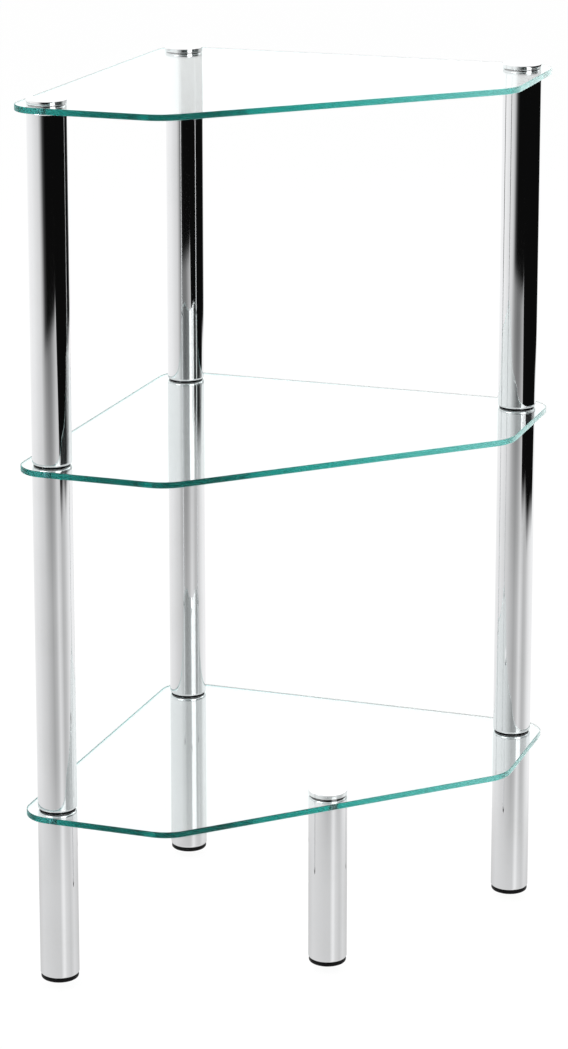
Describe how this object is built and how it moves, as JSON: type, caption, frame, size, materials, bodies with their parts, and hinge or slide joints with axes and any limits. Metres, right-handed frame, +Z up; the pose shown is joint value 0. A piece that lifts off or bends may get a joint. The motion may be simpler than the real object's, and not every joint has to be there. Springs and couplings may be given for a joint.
{
  "type": "corner glass shelf",
  "caption": "Free-standing corner display shelf: clear glass shelves with a cut-off front corner, clamped between chrome tubes on screw-in levelling feet.",
  "frame": {"origin": "on the floor, under the middle of the square that the panes are cut from", "axes": "+Z up; the back edges run along -X and +Y; the cut front corner faces +X and -Y"},
  "size_m": [0.35, 0.35, 0.73],
  "materials": {
    "glass": "clear float glass, polished green edge",
    "chrome": "mirror chrome plate",
    "black_plastic": "satin black moulding",
    "soft_washer": "matt dark",
    "zinc_steel": "zinc plated"
  },
  "bodies": {
    "unit": {"shelf_bottom": "glass", "shelf_middle": "glass", "shelf_top": "glass", "leg_left": "chrome", "leg_left_plug_top": "black_plastic", "leg_left_plug_bottom": "black_plastic", "leg_back": "chrome", "leg_back_plug_top": "black_plastic", "leg_back_plug_bottom": "black_plastic", "leg_right": "chrome", "leg_right_plug_top": "black_plastic", "leg_right_plug_bottom": "black_plastic", "leg_front": "chrome", "leg_front_plug_top": "black_plastic", "leg_front_plug_bottom": "black_plastic", "lower_tube_left": "chrome", "lower_tube_left_plug_top": "black_plastic", "lower_tube_left_plug_bottom": "black_plastic", "lower_tube_back": "chrome", "lower_tube_back_plug_top": "black_plastic", "lower_tube_back_plug_bottom": "black_plastic", "lower_tube_right": "chrome", "lower_tube_right_plug_top": "black_plastic", "lower_tube_right_plug_bottom": "black_plastic", "upper_tube_left": "chrome", "upper_tube_left_plug_top": "black_plastic", "upper_tube_left_plug_bottom": "black_plastic", "upper_tube_back": "chrome", "upper_tube_back_plug_top": "black_plastic", "upper_tube_back_plug_bottom": "black_plastic", "upper_tube_right": "chrome", "upper_tube_right_plug_top": "black_plastic", "upper_tube_right_plug_bottom": "black_plastic", "stud_bottom_left": "zinc_steel", "stud_bottom_back": "zinc_steel", "stud_bottom_right": "zinc_steel", "stud_middle_left": "zinc_steel", "stud_middle_back": "zinc_steel", "stud_middle_right": "zinc_steel", "cap_washer_left": "soft_washer", "cap_screw_left": "zinc_steel", "cap_left": "chrome", "cap_washer_back": "soft_washer", "cap_screw_back": "zinc_steel", "cap_back": "chrome", "cap_washer_right": "soft_washer", "cap_screw_right": "zinc_steel", "cap_right": "chrome", "cap_washer_front": "soft_washer", "cap_screw_front": "zinc_steel", "cap_front": "chrome"},
    "foot_left_stud": {"foot_stud_left": "zinc_steel"},
    "foot_left_pad": {"foot_pad_left": "black_plastic"},
    "foot_back_stud": {"foot_stud_back": "zinc_steel"},
    "foot_back_pad": {"foot_pad_back": "black_plastic"},
    "foot_right_stud": {"foot_stud_right": "zinc_steel"},
    "foot_right_pad": {"foot_pad_right": "black_plastic"},
    "foot_front_stud": {"foot_stud_front": "zinc_steel"},
    "foot_front_pad": {"foot_pad_front": "black_plastic"}
  },
  "joints": [
    {"name": "foot_left_lift", "type": "slide", "parent": "unit", "child": "foot_left_stud", "axis": [0, 0, -1], "range_m": [0, 0.0075]},
    {"name": "foot_left_turn", "type": "hinge", "parent": "foot_left_stud", "child": "foot_left_pad", "pos_m": [-0.15, -0.15, 0], "axis": [0, 0, -1], "range_deg": [0, 2160]},
    {"name": "foot_back_lift", "type": "slide", "parent": "unit", "child": "foot_back_stud", "axis": [0, 0, -1], "range_m": [0, 0.0075]},
    {"name": "foot_back_turn", "type": "hinge", "parent": "foot_back_stud", "child": "foot_back_pad", "pos_m": [-0.15, 0.15, 0], "axis": [0, 0, -1], "range_deg": [0, 2160]},
    {"name": "foot_right_lift", "type": "slide", "parent": "unit", "child": "foot_right_stud", "axis": [0, 0, -1], "range_m": [0, 0.0075]},
    {"name": "foot_right_turn", "type": "hinge", "parent": "foot_right_stud", "child": "foot_right_pad", "pos_m": [0.15, 0.15, 0], "axis": [0, 0, -1], "range_deg": [0, 2160]},
    {"name": "foot_front_lift", "type": "slide", "parent": "unit", "child": "foot_front_stud", "axis": [0, 0, -1], "range_m": [0, 0.0075]},
    {"name": "foot_front_turn", "type": "hinge", "parent": "foot_front_stud", "child": "foot_front_pad", "pos_m": [0.04782, -0.04782, 0], "axis": [0, 0, -1], "range_deg": [0, 2160]}
  ],
  "couplings": [
    {"joint": "foot_left_lift", "follows": "foot_left_turn", "m_per_rad": 0.00019894},
    {"joint": "foot_back_lift", "follows": "foot_back_turn", "m_per_rad": 0.00019894},
    {"joint": "foot_right_lift", "follows": "foot_right_turn", "m_per_rad": 0.00019894},
    {"joint": "foot_front_lift", "follows": "foot_front_turn", "m_per_rad": 0.00019894}
  ]
}
